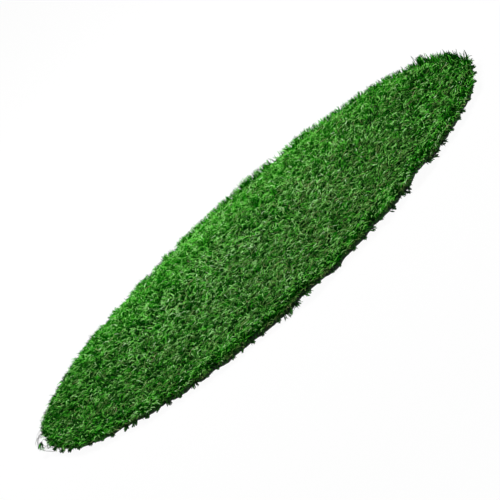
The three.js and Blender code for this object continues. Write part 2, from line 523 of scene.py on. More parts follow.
@dataclass(frozen=True)
class OvalPlan:
    """The cut outline in plan, an oval with a slightly pointed near half and a slightly full far half.

    Attributes:
        half_length: half the long side.
        half_width: half the short side.
        near_power: the power of the near half's curve, 2 for an ellipse.
        far_power: the power of the far half's curve.
    """

    half_length: float
    half_width: float
    near_power: float = 1.8
    far_power: float = 2.1

    @classmethod
    def from_frame(cls) -> OvalPlan:
        """Read the plan from the latex coat's CAD node."""
        low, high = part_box("latex_coat")
        return cls((high[0] - low[0]) / 2, (high[1] - low[1]) / 2)

    def power(self, y: Array | float) -> Array:
        """Give the curve's power in the half that each height across is in."""
        return np.where(np.asarray(y) < 0, self.near_power, self.far_power)

    def share(self, x: Array, y: Array) -> Array:
        """Give how far out each point is, 0 at the middle and 1 at the rim."""
        power = self.power(y)
        return (np.abs(x / self.half_length) ** power + np.abs(y / self.half_width) ** power) ** (1 / power)

    def gap(self, x: Array, y: Array) -> Array:
        """Give each point's distance to the rim, along the ray from the middle."""
        share = np.maximum(self.share(x, y), 1e-6)
        return (1 - share) * np.hypot(x, y) / share

    def outward(self, x: Array, y: Array) -> Pair:
        """Give the unit direction square to the rim at each point.

        Args:
            x: the points' x.
            y: the points' y.

        Returns:
            The directions' x and y.
        """
        power = self.power(y) - 1
        ox = np.sign(x) * np.abs(x / self.half_length) ** power / self.half_length
        oy = np.sign(y) * np.abs(y / self.half_width) ** power / self.half_width
        size = np.hypot(ox, oy) + 1e-9
        return ox / size, oy / size

    def rim(self, count: int) -> Array:
        """Give points round the rim, evenly spaced along it.

        Args:
            count: how many points.

        Returns:
            Their angles in the oval's own parameter.
        """
        fine = np.linspace(0, 2 * math.pi, 8001)
        x, y = self.at(fine)
        along = np.concatenate([[0.0], np.cumsum(np.hypot(np.diff(x), np.diff(y)))])
        return np.interp(np.arange(count) * along[-1] / count, along, fine)

    def at(self, turn: Array) -> Pair:
        """Give points of the rim.

        Args:
            turn: their angles in the oval's own parameter.

        Returns:
            Their x and y.
        """
        along, across = np.cos(turn), np.sin(turn)
        bend = 2 / self.power(across)
        x = self.half_length * np.sign(along) * np.abs(along) ** bend
        return x, self.half_width * np.sign(across) * np.abs(across) ** bend

    def reach(self, y: float) -> float:
        """Give how far the oval reaches along the mat at a height across it."""
        power = float(self.power(y))
        return self.half_length * (1 - abs(y / self.half_width) ** power) ** (1 / power)

    @property
    def area(self) -> float:
        """Give the flat area."""
        x, y = self.at(np.linspace(0, 2 * math.pi, 2001))
        return float(abs(np.sum(x[:-1] * y[1:] - x[1:] * y[:-1])) / 2)


@dataclass(frozen=True)
class EdgeLift:
    """A stretch of the near rim that has curled off the floor.

    Attributes:
        x: its middle along the mat.
        half_span: half its length.
        rise: how high the rim stands there.
        depth: how far in from the rim the curl reaches.
    """

    x: float
    half_span: float
    rise: float
    depth: float = 34 * MM


@dataclass(frozen=True)
class EdgeCut:
    """How the knife left the rim: a little wavy, and curled up at places on the near side.

    Attributes:
        plan: the oval that the knife followed.
        lifts: the stretches that have curled up.
        waviness: how far the near rim stands off the floor elsewhere.
        wave: the size of the waves in it.
        wave_reach: how far in from the rim they reach.
        wobble: how far inside the plan the knife strayed.
        stray: the length over which it strayed.
    """

    plan: OvalPlan
    lifts: tuple[EdgeLift, ...] = (
        EdgeLift(x=12 * MM, half_span=34 * MM, rise=4.0 * MM),
        EdgeLift(x=108 * MM, half_span=20 * MM, rise=2.5 * MM),
        EdgeLift(x=184 * MM, half_span=28 * MM, rise=5.0 * MM),
    )
    waviness: float = 1.5 * MM
    wave: float = 16 * MM
    wave_reach: float = 14 * MM
    wobble: float = 2.8 * MM
    stray: float = 13 * MM

    def inset(self, x: Array, y: Array) -> Array:
        """Give how far inside the plan the knife ran at each point of the rim."""
        slow = PatchNoise(np.random.default_rng(SEED + 7), self.stray)(x, y)
        return self.wobble * np.clip(0.8 + slow, 0, 3)

    def inside(self, x: Array, y: Array, depth: Array | float) -> tuple[Array, Array, Array]:
        """Move points of the plan's rim in past the knife's line.

        Args:
            x: the points' x.
            y: the points' y.
            depth: how far past the line.

        Returns:
            The moved points' x and y, and the heading outward from each.
        """
        ox, oy = self.plan.outward(x, y)
        inset = self.inset(x, y) + depth
        return x - ox * inset, y - oy * inset, np.arctan2(oy, ox)

    def rise(self, x: Array, y: Array) -> Array:
        """Give how far each point of the mat is lifted off the floor.

        Args:
            x: the points' x.
            y: the points' y.

        Returns:
            Heights to add.
        """
        gap = self.plan.gap(x, y)
        wave = PatchNoise(np.random.default_rng(SEED + 6), self.wave)(x, y)
        total = self.waviness * np.clip(0.4 + wave, 0, 2) * np.clip(1 - gap / self.wave_reach, 0, 1)
        for lift in self.lifts:
            along = np.clip(np.abs(x - lift.x) / lift.half_span, 0, 1)
            inward = np.clip(1 - gap / lift.depth, 0, 1.2)
            total = total + lift.rise * (0.5 + 0.5 * np.cos(math.pi * along)) * inward**2
        return np.where(y < 0, total, 0.0)


@dataclass
class Strands:
    """Many strands of yarn, one row each.

    Attributes:
        path: the centrelines, strand by point by axis.
        side: unit directions across each strand, laid out the same.
        half_width: half the width at each point.
        ridge: how far the middle rib stands out at each point.
        tone: each strand's place in its yarn's colour range, 0 to 1.
    """

    path: Array
    side: Array
    half_width: Array
    ridge: Array
    tone: Array

    @classmethod
    def even(
        cls, path: Array, side: Sequence[float], half_width: float, ridge: float, tone: Array
    ) -> Strands:
        """Give strands of one width from end to end, all turned the same way."""
        each = path.shape[:2]
        return cls(path, np.tile(side, (*each, 1)), np.full(each, half_width), np.full(each, ridge), tone)

    def chosen(self, rows: Array) -> Strands:
        """Give only some of the strands, by mask or by number."""
        return Strands(*(getattr(self, part.name)[rows] for part in fields(self)))

    @classmethod
    def joined(cls, parts: Sequence[Strands]) -> Strands:
        """Put several lots of strands with the same number of points together."""
        return cls(*(np.concatenate([getattr(lot, part.name) for lot in parts]) for part in fields(cls)))

    def raised_to(self, height: float) -> Strands:
        """Keep every point at least a height off the floor."""
        self.path[..., 2] = np.maximum(self.path[..., 2], height)
        return self

    @property
    def triangles_each(self) -> int:
        """Give the triangles of one strand: three faces along it and its two ends."""
        return 6 * (self.path.shape[1] - 1) + 2

    def mesh(self, name: str, material: bpy.types.Material) -> bpy.types.Object:
        """Build one object with every strand as a closed three-sided body.

        The map has one column a tone, with the strand's three faces side by side in it, and runs from the
        root at the bottom to the tip at the top.

        Args:
            name: the object's name.
            material: its finish.

        Returns:
            The object.
        """
        count, points = self.path.shape[:2]
        along = np.gradient(self.path, axis=1)
        along /= np.linalg.norm(along, axis=2, keepdims=True) + 1e-12
        side = self.side - along * (self.side * along).sum(2, keepdims=True)
        side /= np.linalg.norm(side, axis=2, keepdims=True) + 1e-12
        out = np.cross(along, side)
        left = self.path + side * self.half_width[..., None]
        rib = self.path + out * self.ridge[..., None]
        right = self.path - side * self.half_width[..., None]
        corners = np.stack([left, rib, right], axis=2).reshape(-1, 3)
        corners[:, 2] = np.maximum(corners[:, 2], 0.0)
        first = (np.arange(count) * points * 3)[:, None, None]
        level = (np.arange(points - 1) * 3)[None, :, None]
        corner = np.arange(3)[None, None, :]
        after = (corner + 1) % 3
        walls = np.stack(
            [
                first + level + corner,
                first + level + after,
                first + level + 3 + after,
                first + level + 3 + corner,
            ],
            axis=3,
        ).reshape(-1, 4)
        root = np.arange(count) * points * 3
        tip = root + (points - 1) * 3
        foot, head = np.stack([root, root + 2, root + 1], 1), np.stack([tip, tip + 1, tip + 2], 1)
        ends = np.concatenate([foot, head])
        loops = np.concatenate([walls.ravel(), ends.ravel()]).astype(np.int32)
        starts = np.concatenate([np.arange(len(walls)) * 4, len(walls) * 4 + np.arange(2 * count) * 3])
        mesh = bpy.data.meshes.new(name)
        mesh.vertices.add(len(corners))
        mesh.vertices.foreach_set("co", corners.astype(np.float32).ravel())
        mesh.loops.add(len(loops))
        mesh.loops.foreach_set("vertex_index", loops)
        mesh.polygons.add(len(starts))
        mesh.polygons.foreach_set("loop_start", starts.astype(np.int32))
        mesh.update(calc_edges=True)
        layer = mesh.uv_layers.new(name=STRAND_MAP)
        layer.data.foreach_set("uv", self._map(points).astype(np.float32).ravel())
        mesh.materials.append(material)
        mesh.update()
        return in_scene(name, mesh)

    def _map(self, points: int) -> Array:
        """Give the map's coordinates, corner by corner in the order of the faces.

        Args:
            points: the points along a strand.

        Returns:
            Two columns, one row a face corner.
        """
        cell = 1 / TONES
        column = np.clip((self.tone * TONES).astype(int), 0, TONES - 1) * cell
        v = np.linspace(0, 1, points)
        u_low = column[:, None, None] + (np.arange(3) / 3 * cell)[None, None, :] + 0 * v[None, :-1, None]
        u_high = u_low + cell / 3
        v_low = v[None, :-1, None] + 0 * u_low
        v_high = v[None, 1:, None] + 0 * u_low
        walls = np.stack([u_low, v_low, u_high, v_low, u_high, v_high, u_low, v_high], axis=3).reshape(-1, 2)
        ends = []
        for low, high in ((0.0, 0.03), (0.97, 1.0)):
            left, right, top = (column + share * cell for share in (0.2, 0.8, 0.5))
            low, high = np.full_like(column, low), np.full_like(column, high)
            ends.append(np.stack([left, low, right, low, top, high], 1).reshape(-1, 2))
        return np.concatenate([walls, *ends])


@dataclass
class Growth:
    """How strands rise and bend, one value a strand, with leans in degrees and other angles in radians.

    Attributes:
        root: where each strand starts.
        length: its length along the curve.
        root_lean: its lean from the vertical at the root.
        tip_lean: its lean at the tip.
        heading: the direction that it leans in.
        turn: how far the heading turns from root to tip.
        bend: the shares of its length between which it bends over.
        crimp: the swing of a crimped strand's heading.
        crimp_waves: the waves of the crimp along it.
        twist: how its flat side is turned about its length.
    """

    root: Array
    length: Array
    root_lean: Array
    tip_lean: Array
    heading: Array
    turn: Array
    bend: tuple[float, float]
    twist: Array
    crimp: float = 0.0
    crimp_waves: float = 0.0

    def strands(self, profile: Sequence[float], half_width: Array, ridge: float, tone: Array) -> Strands:
        """Follow each strand from its root.

        Args:
            profile: the share of the full width at each point, root to tip.
            half_width: half the full width of each strand.
            ridge: the height of the rib.
            tone: each strand's tone.

        Returns:
            The strands.
        """
        steps = len(profile) - 1
        count = len(self.length)
        root_lean, tip_lean = np.radians(self.root_lean), np.radians(self.tip_lean)
        path = np.zeros((count, steps + 1, 3))
        side = np.zeros((count, steps + 1, 3))
        path[:, 0] = self.root
        for point in range(steps + 1):
            u = min((point + 0.5) / steps, 1.0)
            bent = min(max((u - self.bend[0]) / (self.bend[1] - self.bend[0]), 0.0), 1.0)
            lean = root_lean + (tip_lean - root_lean) * bent
            swing = self.crimp * np.sin(2 * math.pi * (self.crimp_waves * u + self.twist))
            heading = self.heading + self.turn * u + swing
            level = np.sin(lean)
            step = np.stack([level * np.cos(heading), level * np.sin(heading), np.cos(lean)], 1)
            across = np.stack([-np.sin(heading), np.cos(heading), 0 * heading], 1)
            facing = np.cross(step, across)
            side[:, point] = across * np.cos(self.twist)[:, None] + facing * np.sin(self.twist)[:, None]
            if point < steps:
                path[:, point + 1] = path[:, point] + step * (self.length / steps)[:, None]
        shape = np.array(profile)[None]
        return Strands(path, side, half_width[:, None] * shape, np.full((count, 1), ridge) * shape, tone)


def piece_of(piece: bpy.types.Object, slot: Slot, *nodes: str) -> bpy.types.Object:
    """Make an object a piece of the mat.

    Args:
        piece: the object.
        slot: the material slot meant for it; not used.
        nodes: the CAD nodes that it stands for.

    Returns:
        The same object.
    """
    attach(piece, BODY)
    if nodes:
        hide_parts(*nodes)
    stands_for = ", ".join(nodes) or "nothing"
    LOG.info("%s: %d faces, stands for %s", piece.name, len(piece.data.polygons), stands_for)
    return piece


@dataclass
class CutLayer:
    """One layer of the backing, cut to the oval and punched for drainage.

    Attributes:
        name: the piece's name.
        node: the CAD node that it stands for.
        slot: its material slot.
        finish: its material.
        plan: the outline.
        cut: how the rim was left.
        low: the height of its underside.
        high: the height of its top.
        drains: the middles of the drain holes.
        pitch: the spacing of the mesh inside the rim.
        ragged: how unevenly the knife left its rim.
        seed: the seed of that unevenness.
        under: adds shape to the underside, given x and y.
        drain_radius: the radius of the drain holes.
        rim_points: the points round the rim.
        drain_points: the points round a drain hole.
        wall_rings: the rings of points in the wall, between its foot and its top.
        outer_share: how far out the outer rim starts, 1 at the plan's rim.
        ragged_patch: the size of the knife's quick unevenness.
    """

    name: str
    node: str
    slot: Slot
    finish: Finish
    plan: OvalPlan
    cut: EdgeCut
    low: float
    high: float
    drains: list[tuple[float, float]]
    pitch: float
    ragged: float
    seed: int
    under: Callable[[Array, Array], Array] | None = None
    drain_radius: float = 3.0 * MM
    rim_points: int = 1100
    drain_points: int = 28
    wall_rings: int = 2
    outer_share: float = 0.9
    ragged_patch: float = 3 * MM

    def build(self) -> bpy.types.Object:
        """Build the layer as one closed body.

        Returns:
            The object.
        """
        material = self.finish.material()
        rng = np.random.default_rng(self.seed)
        flat, faces = self._flat(rng)
        x, y = flat.T
        rise = self.cut.rise(x, y)
        bottom = self.low + rise + (self.under(x, y) if self.under else 0.0)
        top = self.high + rise
        count = len(flat)
        border = self._border(faces)
        rim = np.unique(border)
        # The wall has rings between its foot and its top, pushed in or out by the knife round the outer rim
        outer = self.plan.share(x[rim], y[rim]) > self.outer_share
        ox, oy = self.plan.outward(x[rim], y[rim])
        rings = [np.column_stack([flat, bottom]), np.column_stack([flat, top])]
        levels = [np.arange(count)]
        for ring in range(self.wall_rings):
            share = (ring + 1) / (self.wall_rings + 1)
            push = np.where(outer, rng.normal(0, self.ragged * 0.5, len(rim)), 0.0)
            height = bottom[rim] * (1 - share) + top[rim] * share
            rings.append(np.column_stack([x[rim] + ox * push, y[rim] + oy * push, height]))
            level = np.full(count, -1)
            level[rim] = 2 * count + ring * len(rim) + np.arange(len(rim))
            levels.append(level)
        levels.append(np.arange(count) + count)
        start, end = border.T
        walls = [
            np.column_stack([low[start], low[end], high[end], high[start]])
            for low, high in zip(levels[:-1], levels[1:])
        ]
        triangles = np.concatenate([faces[:, ::-1], faces + count])
        mesh = bpy.data.meshes.new(self.name)
        faces_all = [*triangles.tolist(), *np.concatenate(walls).tolist()]
        mesh.from_pydata(np.concatenate(rings).tolist(), [], faces_all)
        mesh.materials.append(material)
        mesh.update()
        return piece_of(in_scene(self.name, mesh), self.slot, self.node)

    @staticmethod
    def _border(faces: Array) -> Array:
        """Find the edges that only one triangle has.

        Args:
            faces: the corners of each triangle.

        Returns:
            Two columns, the start and the end of each edge, in the triangle's own direction.
        """
        edges = np.concatenate([faces[:, [0, 1]], faces[:, [1, 2]], faces[:, [2, 0]]])
        known = {(int(a), int(b)) for a, b in edges}
        border = np.array([(a, b) for a, b in known if (b, a) not in known])
        return border[np.lexsort((border[:, 1], border[:, 0]))]

    def _flat(self, rng: np.random.Generator) -> Pair:
        """Triangulate the plan between the rim and the drain holes.

        Args:
            rng: the source of the knife's unevenness.

        Returns:
            The points, and the corners of each triangle, anticlockwise from above.
        """
        x, y = self.plan.at(self.plan.rim(self.rim_points))
        quick = PatchNoise(rng, self.ragged_patch)(x, y)
        rim = np.column_stack(self.cut.inside(x, y, self.ragged * (0.5 + 0.7 * quick))[:2])
        hole_turn = np.linspace(0, 2 * math.pi, self.drain_points, endpoint=False)
        hole = self.drain_radius * np.column_stack([np.cos(hole_turn), np.sin(hole_turn)])
        holes = [hole + middle for middle in self.drains]
        gx, gy = np.meshgrid(
            np.arange(-self.plan.half_length, self.plan.half_length, self.pitch),
            np.arange(-self.plan.half_width, self.plan.half_width, self.pitch),
        )
        inner = np.column_stack([gx.ravel(), gy.ravel()])
        clear = 3 * (self.cut.wobble + self.ragged) + 0.7 * self.pitch
        keep = self.plan.gap(inner[:, 0], inner[:, 1]) > clear
        for cx, cy in self.drains:
            keep &= np.hypot(inner[:, 0] - cx, inner[:, 1] - cy) > self.drain_radius + 0.5 * self.pitch
        points = np.concatenate([rim, *holes, inner[keep]])
        edges = [(n, (n + 1) % self.rim_points) for n in range(self.rim_points)]
        start = self.rim_points
        for _ in holes:
            edges += [(start + n, start + (n + 1) % self.drain_points) for n in range(self.drain_points)]
            start += self.drain_points
        placed, _, faces, *_ = delaunay_2d_cdt([Vector(p) for p in points], edges, [], 0, 1e-8, False)
        flat = np.array([tuple(p) for p in placed])
        corners = np.array(faces)
        middle = flat[corners].mean(axis=1)
        inside = self._inside(middle, flat[: self.rim_points])
        # A triangle in a drain hole has its middle well inside the hole's sides
        for cx, cy in self.drains:
            inside &= np.hypot(middle[:, 0] - cx, middle[:, 1] - cy) > self.drain_radius * 0.97
        return flat, corners[inside]

    @staticmethod
    def _inside(points: Array, rim: Array) -> Array:
        """Say which points are inside a rim that has no part hidden from the middle.

        Args:
            points: the points to test.
            rim: the rim's points, anticlockwise from the first.

        Returns:
            True for each point inside.
        """
        angles = np.unwrap(np.arctan2(rim[:, 1], rim[:, 0]))
        angle = (np.arctan2(points[:, 1], points[:, 0]) - angles[0]) % (2 * math.pi) + angles[0]
        after = np.searchsorted(angles, angle, side="right") % len(rim)
        start = rim[after - 1]
        side, to_point = rim[after] - start, points - start
        return side[:, 0] * to_point[:, 1] - side[:, 1] * to_point[:, 0] > 0


class Layer(Enum):
    """The layers from the floor up: piece, CAD node, slot, finish, pitch of the mesh and raggedness."""

    COAT = ("latex_coat_layer", "latex_coat", Slot.RUBBER, ScrapedLatex(), 2.4 * MM, 0.9 * MM)
    FLEECE = ("fleece_layer", "stabilising_fleece", Slot.FLEECE, PunchedFleece(), 6 * MM, 1.0 * MM)
    CLOTH = ("woven_cloth_layer", "primary_backing", Slot.CLOTH, WovenTape(), 6 * MM, 0.8 * MM)


@dataclass
class Backing:
    """The three layers under the pile, with what the knife frayed at their rims.

    Attributes:
        plan: the cut outline.
        cut: how the rim was left.
        gauge: the pitch of the rows of tufts.
        stitch: the pitch of the tufts along a row.
        drain_pitch: the spacing of the drain holes along the mat.
        bump: how far the tuft backs stand out of the coat.
        tape_end_count: the frayed ends of the cloth's tapes.
        fibre_count: the loose fibres of the fleece.
        pieces: the pieces built so far, by the layer's name or the fray's.
    """

    plan: OvalPlan
    cut: EdgeCut
    gauge: float
    stitch: float
    drain_pitch: float = 100 * MM
    bump: float = 0.4 * MM
    tape_end_count: int = 1150
    fibre_count: int = 3200
    pieces: dict[str, bpy.types.Object] = field(default_factory=dict)

    def drains(self) -> list[tuple[float, float]]:
        """Set out the drain holes, in pairs along the middle of each band.

        Returns:
            Their middles.
        """
        places = []
        for band in Band:
            y = sum(band.limits()) / 2
            reach = self.plan.reach(y) - self.drain_pitch / 2
            for pair in range(math.floor(reach / self.drain_pitch + 0.5)):
                x = (pair + 0.5) * self.drain_pitch
                places += [(-x, y), (x, y)]
        return places

    def tuft_backs(self, x: Array, y: Array) -> Array:
        """Give the hollow between the tuft backs that show through the coat from below.

        Args:
            x: the points' x.
            y: the points' y.

        Returns:
            Heights above the lowest points, which are the backs themselves.
        """
        row = np.cos(math.pi * y / self.gauge) ** 2
        knot = 0.72 + 0.28 * np.cos(2 * math.pi * x / self.stitch)
        return self.bump * (1 - row**1.5 * knot)

    def build(self) -> None:
        """Build the layers, then the fray at the rim."""
        coat_low, coat_high = (corner[2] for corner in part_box("latex_coat"))
        fleece_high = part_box("stabilising_fleece")[1][2]
        cloth_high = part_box("primary_backing")[1][2] + 0.4 * MM
        levels = (coat_low, coat_high, fleece_high, cloth_high)
        for number, layer in enumerate(Layer):
            name, node, slot, finish, pitch, ragged = layer.value
            made = CutLayer(
                name,
                node,
                slot,
                finish,
                self.plan,
                self.cut,
                low=levels[number],
                high=levels[number + 1],
                drains=self.drains(),
                pitch=pitch,
                ragged=ragged,
                seed=SEED + 1 + number,
                under=self.tuft_backs if layer is Layer.COAT else None,
            )
            self.pieces[layer.name] = made.build()
        self.pieces["TAPE_ENDS"] = piece_of(self._tape_ends(fleece_high, cloth_high), Slot.CLOTH)
        self.pieces["FIBRES"] = piece_of(self._fibres(coat_high, fleece_high), Slot.FLEECE)

    def _rim_roots(self, rng: np.random.Generator, count: int, low: float, high: float) -> Pair:
        """Scatter roots just inside the rim.

        Args:
            rng: the source of the draws.
            count: how many.
            low: the lowest height.
            high: the highest height.

        Returns:
            The roots, and the heading outward from each.
        """
        x, y, heading = self.cut.inside(*self.plan.at(self.plan.rim(count)), 1.1 * MM)
        return np.column_stack([x, y, rng.uniform(low, high, count) + self.cut.rise(x, y)]), heading

    def _tape_ends(self, low: float, high: float) -> bpy.types.Object:
        """Fray the woven cloth's rim into short flat tape ends that droop a little.

        Args:
            low: the height of the cloth's underside.
            high: the height of its top.

        Returns:
            The object.
        """
        rng = np.random.default_rng(SEED + 4)
        n = self.tape_end_count
        root, heading = self._rim_roots(rng, n, low + 0.1 * MM, high - 0.1 * MM)
        growth = Growth(
            root=root,
            length=rng.gamma(4.0, 0.35 * MM, n) + 1.2 * MM,
            root_lean=rng.normal(88, 4, n),
            tip_lean=rng.normal(108, 16, n),
            heading=heading + rng.normal(0, 0.35, n),
            turn=rng.normal(0, 0.3, n),
            bend=(0.2, 1.0),
            twist=rng.normal(0, 0.25, n),
        )
        width, tone = rng.uniform(0.3, 0.62, n) * MM, rng.beta(2, 3, n)
        strands = growth.strands((1.0, 1.0, 0.95, 0.8), width, 0.12 * MM, tone)
        return strands.mesh("cloth_tape_ends", TAPE_ENDS.material())

    def _fibres(self, low: float, high: float) -> bpy.types.Object:
        """Pull loose fibres out of the fleece's rim.

        Args:
            low: the height of the fleece's underside.
            high: the height of its top.

        Returns:
            The object.
        """
        rng = np.random.default_rng(SEED + 5)
        n = self.fibre_count
        root, heading = self._rim_roots(rng, n, low + 0.1 * MM, high - 0.1 * MM)
        growth = Growth(
            root=root,
            length=rng.gamma(3.0, 0.5 * MM, n) + 1.4 * MM,
            root_lean=rng.normal(90, 12, n),
            tip_lean=rng.normal(100, 30, n),
            heading=heading + rng.normal(0, 0.7, n),
            turn=rng.normal(0, 1.2, n),
            bend=(0.0, 1.0),
            twist=rng.uniform(0, 1, n),
            crimp=0.5,
            crimp_waves=1.5,
        )
        width, tone = rng.uniform(0.07, 0.14, n) * MM, rng.beta(2, 3, n)
        strands = growth.strands((1.0, 1.0, 0.9, 0.8, 0.6), width, 0.1 * MM, tone)
        return strands.mesh("fleece_loose_fibres", FLEECE_FIBRES.material())

    def declare(self) -> None:
        for key, below, fray in (("CLOTH", "FLEECE", "TAPE_ENDS"), ("FLEECE", "COAT", "FIBRES")):
            self.plan.area


@dataclass
class BladeCrop:
    """The blades while their shapes are worked out: one value or row a blade, with leans in degrees.

    The stages lay, stand, fill_wall, raise_far_rim and grown draw from one random stream, in this order. They
    work out each blade's lie, which is the direction and strength of its lean, the leans at its base and tip,
    its length and its turn, and say whether it is matted over, in the near wall, bundled or lifted at the far
    rim, or proud of the pile.

    Attributes:
        rng: the source of the draws.
        plan: the cut outline.
        cut: how the rim was left.
        spots: the tufts' x and y.
        tuft: the number of each blade's tuft.
        swirl: the size of the swirls that the pile lies in.
        lock: the size of the locks in them.
        trodden: the size of the patches that are trodden flat.
        cloud: the size of the patches of one shade.
        rim_lie: how far in from the rim the pile leans out over it.
        rim_band: how far in from the rim the knife touched the blades.
        belly_x: the middle of the near side's dark stretch, where the wall's blades carry painted shade.
        belly_span: the spread of that stretch.
        crest_x: the middle of the far rim's tallest stretch.
        crest_span: the spread of that stretch.
        tall_x: the middle of the stretch where more single blades stand proud.
        tall_half: half its length.
    """

    rng: np.random.Generator
    plan: OvalPlan
    cut: EdgeCut
    spots: Array
    tuft: Array
    swirl: float = 34 * MM
    lock: float = 11 * MM
    trodden: float = 26 * MM
    cloud: float = 13 * MM
    rim_lie: float = 40 * MM
    rim_band: float = 8 * MM
    belly_x: float = -10 * MM
    belly_span: float = 120 * MM
    crest_x: float = 70 * MM
    crest_span: float = 70 * MM
    tall_x: float = 40 * MM
    tall_half: float = 30 * MM

    def __post_init__(self) -> None:
        """Work out what follows from where each blade stands."""
        self.count = len(self.tuft)
        self.x, self.y = self.spots[self.tuft].T
        self.gap = self.plan.gap(self.x, self.y)
        self.out = np.column_stack(self.plan.outward(self.x, self.y))
        self.v = self.y / self.plan.half_width
        self.far_side = np.clip((self.v - 0.3) / 0.4, 0, 1)
        self.calm = 1 - 0.6 * self.far_side
        self.far_rim = (self.gap < self.rim_band) & (self.v > -0.1)
        self.belly = np.exp(-(((self.x - self.belly_x) / self.belly_span) ** 2))

    def _stray(self, along: float, across: float) -> Array:
        """Draw how far each blade strays from its lie, along the mat and across it."""
        return np.column_stack([self.rng.normal(0, spread, self.count) for spread in (along, across)])

    def _way(self) -> Array:
        """Draw one of the two ways along the rim for each blade, 1 or -1."""
        return np.where(self.rng.random(self.count) < 0.5, 1, -1)

    def lay(self, drains: Sequence[tuple[float, float]]) -> None:
        """Lay the pile: outward at the ends, along the mat more than across it, in swirls, over the drains.

        Args:
            drains: the middles of the drain holes.
        """
        wide, tight, wide_y, tight_y, press = (
            PatchNoise(self.rng, patch)(self.x, self.y)
            for patch in (self.swirl, self.lock, self.swirl, self.lock, self.trodden)
        )
        self.press = press
        pull = np.clip(1 - self.gap / self.rim_lie, 0, 1)
        pull_y = pull * np.clip(0.4 + 0.8 * self.v, 0, 1)
        along = -0.2 + 0.6 * self.x / self.plan.half_length + 0.4 * self.out[:, 0] * pull
        across = 0.2 * self.v + 0.6 * self.out[:, 1] * pull_y
        swirls = np.column_stack([0.6 * wide + 0.32 * tight, 0.35 * wide_y + 0.12 * tight_y])
        self.lie = np.column_stack([along, across]) + swirls * self.calm[:, None]
        for middle in drains:
            toward = np.array(middle) - np.column_stack([self.x, self.y])
            away = np.hypot(*toward.T) + 0.1 * MM
            pull_in = 1.6 * np.clip(1.4 - away / (8 * MM), 0, 1)
            self.lie += pull_in[:, None] * toward / away[:, None]
        self.tuft_lean = self.rng.normal(0, 0.2, (len(self.spots), 2))
        self.lie += self.tuft_lean[self.tuft] * (1.0, 0.6) * self.calm[:, None] + self._stray(0.9, 0.42)
        # Near the rim the strands lie along it instead of over it, most of all on the player's side
        near_rim = np.clip(1.2 - self.gap / (16 * MM), 0, 1) * np.clip(0.8 - 3 * self.v, 0.6, 1)
        over_rim = np.maximum((self.lie * self.out).sum(1), 0) * near_rim * 0.85
        self.lie -= self.out * over_rim[:, None]

    def stand(self, matted_share: float) -> None:
        """Say which blades are matted over, and give every blade its leans and its length.

        Args:
            matted_share: the share of blades that are matted over in the middle of the mat.
        """
        rng, n = self.rng, self.count
        pull = np.hypot(*self.lie.T)
        share = matted_share - 0.1 * self.v + 0.2 * self.press * np.clip(1 - self.v, 0.3, 1)
        self.matted = rng.random(n) < share
        self.matted &= ~(self.far_rim & (rng.random(n) < 0.7))
        flat, upright = 84 + 10 * pull + rng.normal(0, 9, n), 20 + 20 * pull + rng.normal(0, 6, n)
        self.tip = np.where(self.matted, flat, upright)
        self.base = np.where(self.matted, 5 + 9 * pull, 3 + 8 * pull)
        self.length = np.where(self.matted, rng.normal(15.2, 1.5, n), rng.normal(13.4, 0.6, n)) * MM
        # The far rim stands taller, least at the left end and most a little right of the middle
        taller = rng.normal(2.2, 0.3, n) + 2.5 * np.clip(self.x / self.plan.half_length, -1, 0)
        taller = taller + 2.4 * np.exp(-(((self.x - self.crest_x) / self.crest_span) ** 2))
        self.length += np.where(self.far_rim & ~self.matted, taller, 0) * MM

    def fill_wall(self) -> None:
        """Cut many blades short along the near rim, where they fill the wall under the tips."""
        rng, n = self.rng, self.count
        self.wall = (self.gap < self.rim_band) & (self.v < 0.1) & (rng.random(n) < 0.75 - 0.25 * self.belly)
        self.matted &= ~self.wall
        self.length = np.where(self.wall, rng.uniform(8.0, 16.0, n) * MM, self.length)
        drooping = rng.normal(88, 12, n) + 42 * np.abs(self.x) / self.plan.half_length
        self.tip = np.where(self.wall, drooping, self.tip)
        self.base = np.where(self.wall, rng.uniform(15, 48, n) * (1 - 0.5 * self.belly), self.base)
        self.lie = np.where(self.wall[:, None], self.out + self._stray(0.3, 0.3), self.lie)
        self.turn = self._way() * rng.uniform(0.9, 1.9, n)
        # In the belly of the near side they lie flat along the rim from their roots on
        laid = self.wall & (rng.random(n) < self.belly)
        along = self._way()[:, None] * np.column_stack([-self.out[:, 1], self.out[:, 0]])
        self.lie = np.where(laid[:, None], 0.3 * self.out + along + self._stray(0.2, 0.2), self.lie)
        self.base = np.where(laid, rng.uniform(40, 74, n), self.base)
        self.turn = np.where(laid, rng.normal(0, 0.3, n), self.turn)

    def raise_far_rim(self, bundles_from: float) -> None:
        """Let single blades stand proud of the far rim, and whole tufts near its right end.

        Args:
            bundles_from: the x from which whole tufts do.
        """
        rng, n = self.rng, self.count
        single_share = 0.03 + 0.03 * (np.abs(self.x - self.tall_x) < self.tall_half)
        single = self.far_rim & ~self.matted & (rng.random(n) < single_share)
        chosen = (rng.random(len(self.spots)) < 0.15)[self.tuft]
        self.bundled = self.far_rim & (self.x > bundles_from) & chosen
        self.matted &= ~self.bundled
        self.tip = np.where(self.bundled, rng.normal(30, 12, n), self.tip)
        bundle = 0.9 * self.out + self.tuft_lean[self.tuft] * 3.75 + self._stray(0.12, 0.12)
        self.lie = np.where(self.bundled[:, None], bundle, self.lie)
        self.length += np.where(single, rng.uniform(0.5, 2.5, n) * MM, 0)
        self.length += np.where(self.bundled, rng.uniform(1, 5, n) * MM, 0)
        self.lifted = self.far_rim & ~self.matted
        self.proud = single | self.bundled | self.lifted

